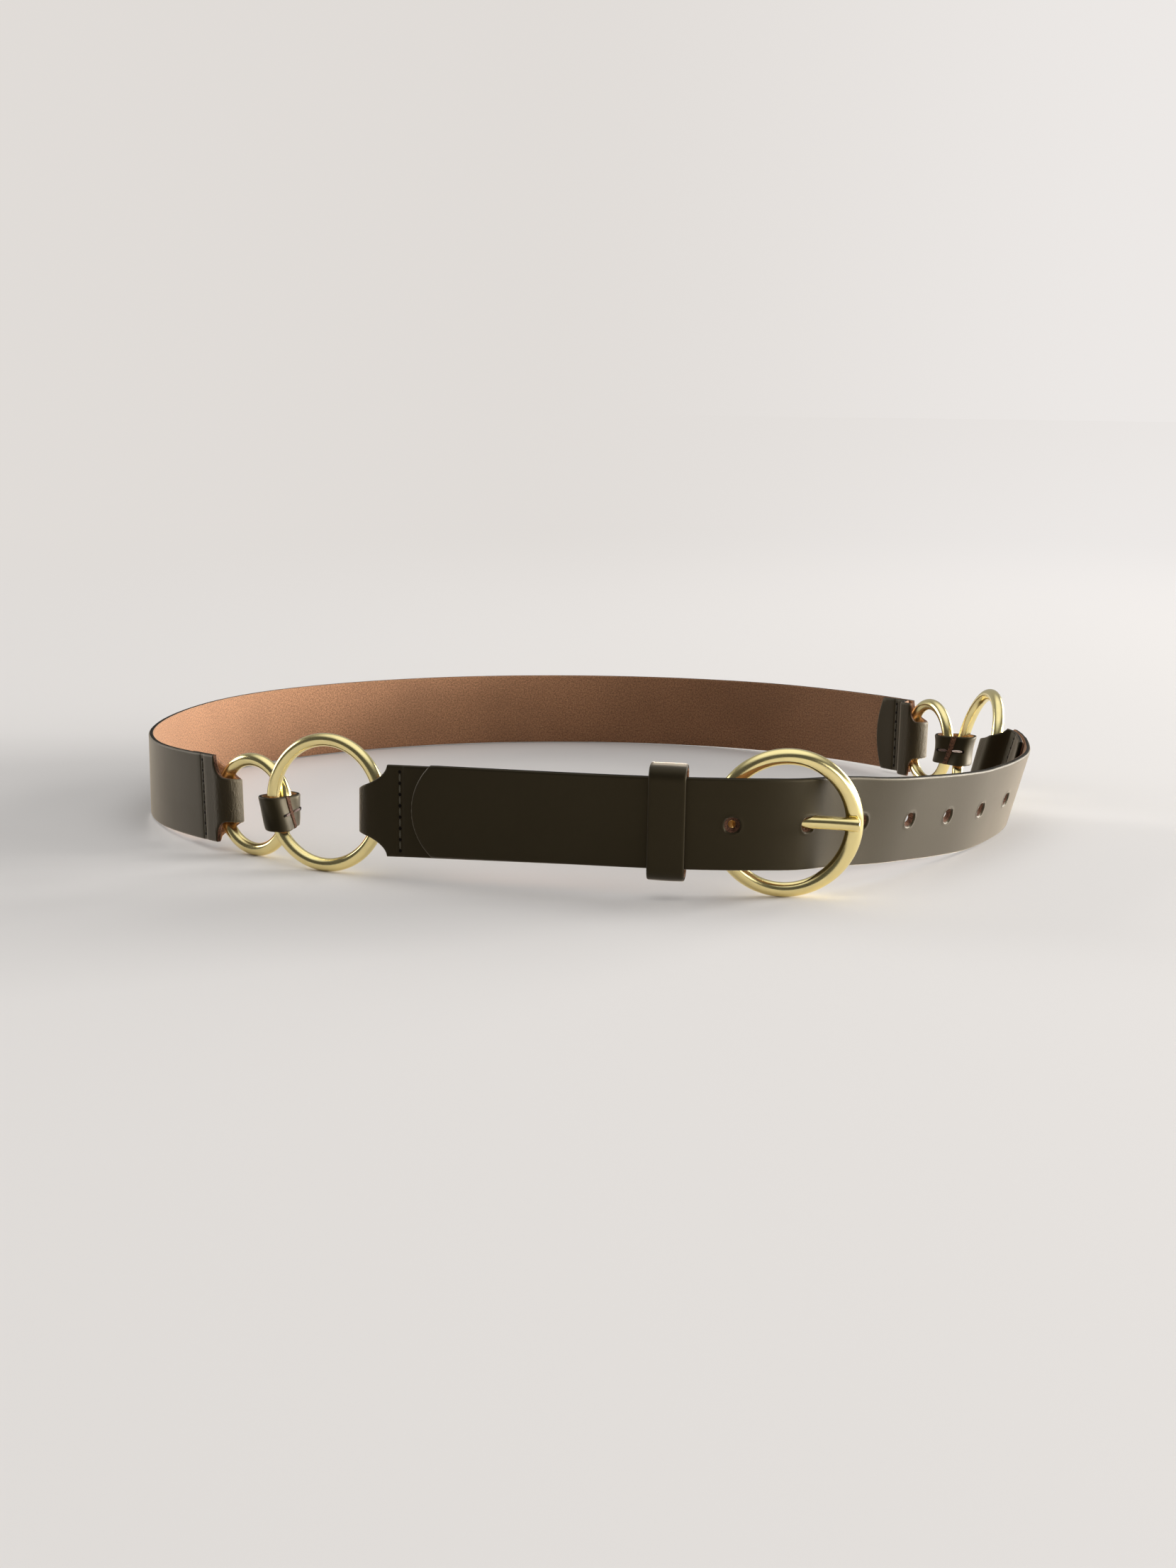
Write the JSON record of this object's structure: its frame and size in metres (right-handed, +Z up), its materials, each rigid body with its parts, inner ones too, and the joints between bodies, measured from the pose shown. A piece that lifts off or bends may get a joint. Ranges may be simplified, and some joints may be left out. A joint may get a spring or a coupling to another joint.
{
  "type": "ring belt",
  "caption": "Leather waist belt, fastened in a loop, with straps joined by metal rings, a round prong buckle and a leather keeper.",
  "frame": {"origin": "on the floor plane, at the middle of the bounding box seen from above", "axes": "+Z up, -Y towards the buckle and the viewer of the picture, +X to the viewer's right"},
  "size_m": [0.3298, 0.3036, 0.0486],
  "materials": {
    "strap_leather": "semi-gloss dark outside, tan suede inside",
    "trim_leather": "semi-gloss",
    "polished_metal": "polished pale gold"
  },
  "bodies": {
    "root": {"back_strap": "strap_leather", "tip_strap": "strap_leather", "buckle_strap": "strap_leather", "keeper": "trim_leather", "tab_left": "trim_leather", "tab_right": "trim_leather", "buckle_ring": "polished_metal", "prong": "polished_metal", "ring_left_big": "polished_metal", "ring_left_small": "polished_metal", "ring_right_small": "polished_metal", "ring_right_big": "polished_metal"}
  },
  "joints": []
}
